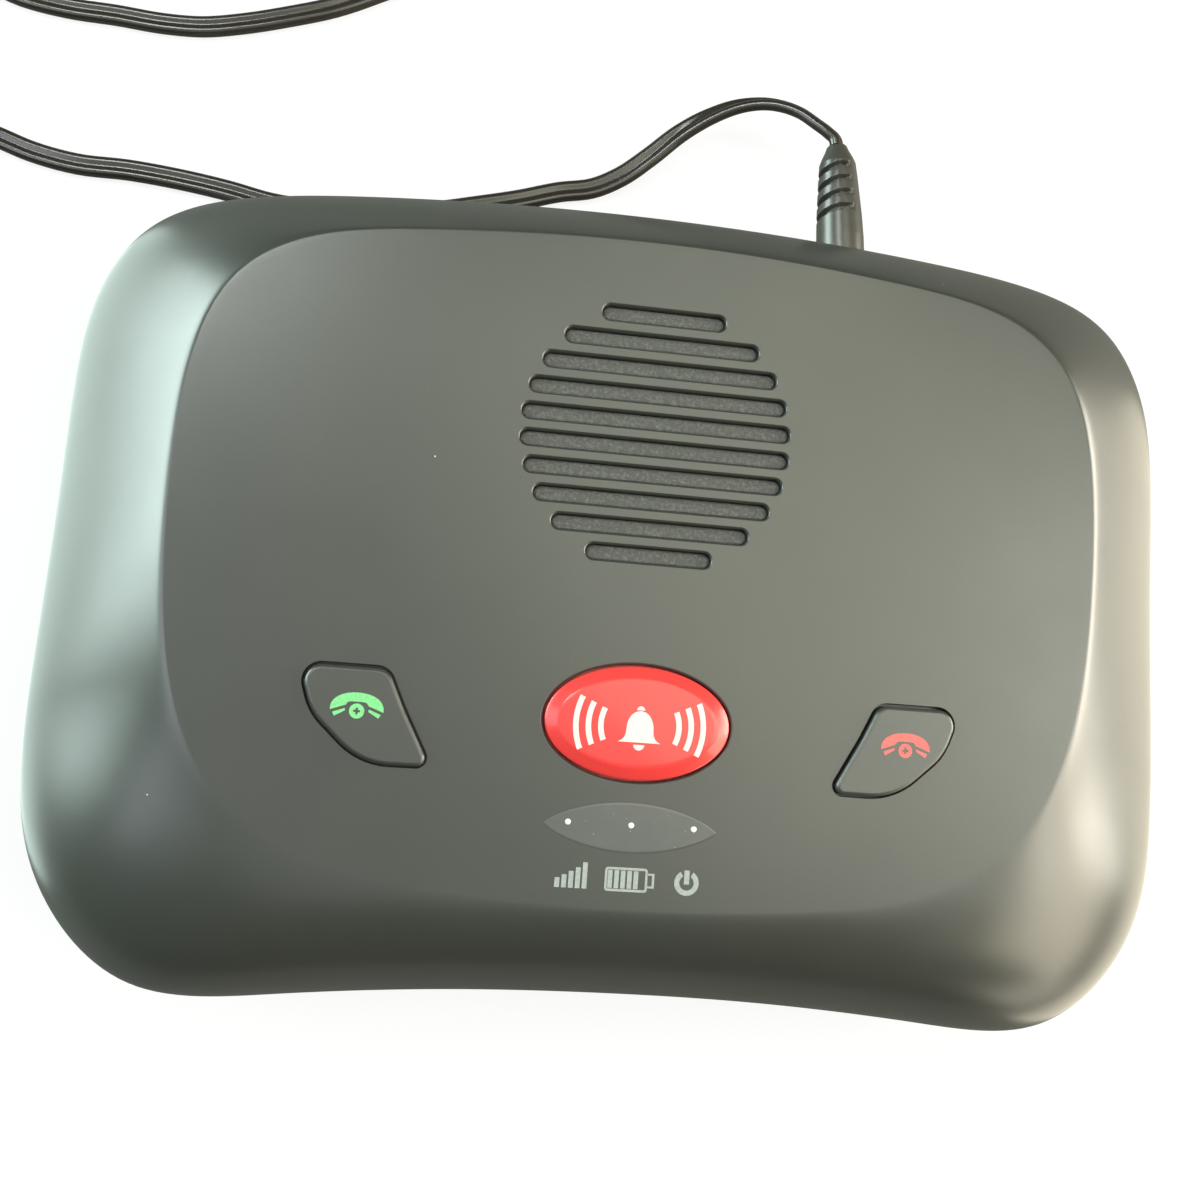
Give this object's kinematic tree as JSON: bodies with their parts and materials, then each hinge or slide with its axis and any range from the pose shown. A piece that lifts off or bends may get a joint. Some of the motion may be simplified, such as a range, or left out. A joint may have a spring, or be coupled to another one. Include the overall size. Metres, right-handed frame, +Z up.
{
  "type": "emergency call base station",
  "caption": "Desk base station with flat panel, sloping sides, slotted speaker grille, oval red help button, answer and end buttons, pointed indicator window and a wall adapter on its lead",
  "frame": {"origin": "under the middle of the housing, on the surface that the feet stand on", "axes": "+X to the right as seen from the front, +Y to the back (power jack side), +Z up"},
  "size_m": [0.2415, 0.2816, 0.043],
  "materials": {
    "housing": "fine-grained satin, charcoal with an olive cast",
    "key_grey": "satin, same charcoal as the housing",
    "key_red": "glossy red",
    "window": "smoked satin acrylic",
    "clear": "clear acrylic",
    "grille_cloth": "grey acoustic cloth",
    "rubber_black": "matte",
    "steel": "zinc plated",
    "basket": "black paint",
    "cone": "coated paper",
    "board": "green solder mask",
    "chip": "black moulding",
    "module_blue": "blue mask",
    "ivory": "ivory nylon",
    "led_green": "tinted resin",
    "led_amber": "tinted resin",
    "brass": "bare",
    "battery_wrap": "shrink wrap",
    "lead_red": "insulation",
    "lead_grey": "insulation",
    "grip": "satin vinyl",
    "cord_black": "glossy vinyl",
    "tie": "textile hook tape",
    "adapter": "fine-grained black",
    "nickel": "nickel plated"
  },
  "bodies": {
    "unit": {"top_cover": "housing", "bottom_cover": "housing", "battery_door": "housing", "door_screw": "steel", "case_screws": "steel", "front_left_foot": "rubber_black", "front_right_foot": "rubber_black", "rear_left_foot": "rubber_black", "rear_right_foot": "rubber_black", "indicator_lens": "window", "light_guide": "clear", "grille_cloth": "grille_cloth", "speaker_gasket": "rubber_black", "speaker_frame": "basket", "speaker_cone": "cone", "speaker_magnet": "steel", "speaker_screws": "steel", "speaker_leads": "lead_red", "main_board": "board", "board_screws": "steel", "help_switch": "chip", "answer_switch": "chip", "end_switch": "chip", "signal_led": "led_green", "battery_led": "led_amber", "power_led": "led_green", "processor": "chip", "cellular_module": "steel", "sim_holder": "steel", "radio_module": "module_blue", "radio_antenna": "brass", "cellular_antenna": "board", "speaker_connector": "ivory", "battery_connector": "ivory", "power_connector": "ivory", "battery_pack": "battery_wrap", "battery_leads": "lead_red", "power_board": "board", "power_board_screws": "steel", "power_jack": "chip", "switch_housing": "steel", "power_leads": "lead_grey", "microphone": "steel", "microphone_leads": "lead_red", "microphone_boot": "rubber_black", "barrel_plug": "steel", "plug_grip": "grip", "power_cord": "cord_black", "cord_coil": "cord_black", "cord_tie": "tie", "adapter_body": "adapter", "adapter_relief": "grip", "adapter_blades": "nickel"},
    "help_key": {"help_button": "key_red", "help_plunger": "ivory"},
    "answer_key": {"answer_button": "key_grey", "answer_plunger": "ivory"},
    "end_key": {"end_button": "key_grey", "end_plunger": "ivory"},
    "power_slide": {"switch_slider": "chip"}
  },
  "joints": [
    {"name": "help_press", "type": "slide", "parent": "unit", "child": "help_key", "axis": [0, 0, -1], "range_m": [0, 0.0009], "stiffness_N_per_m": 2500},
    {"name": "answer_press", "type": "slide", "parent": "unit", "child": "answer_key", "axis": [0, 0, -1], "range_m": [0, 0.0007], "stiffness_N_per_m": 2500},
    {"name": "end_press", "type": "slide", "parent": "unit", "child": "end_key", "axis": [0, 0, -1], "range_m": [0, 0.0007], "stiffness_N_per_m": 2500},
    {"name": "power_switch", "type": "slide", "parent": "unit", "child": "power_slide", "axis": [-1, 0, 0], "range_m": [0, 0.003]}
  ]
}
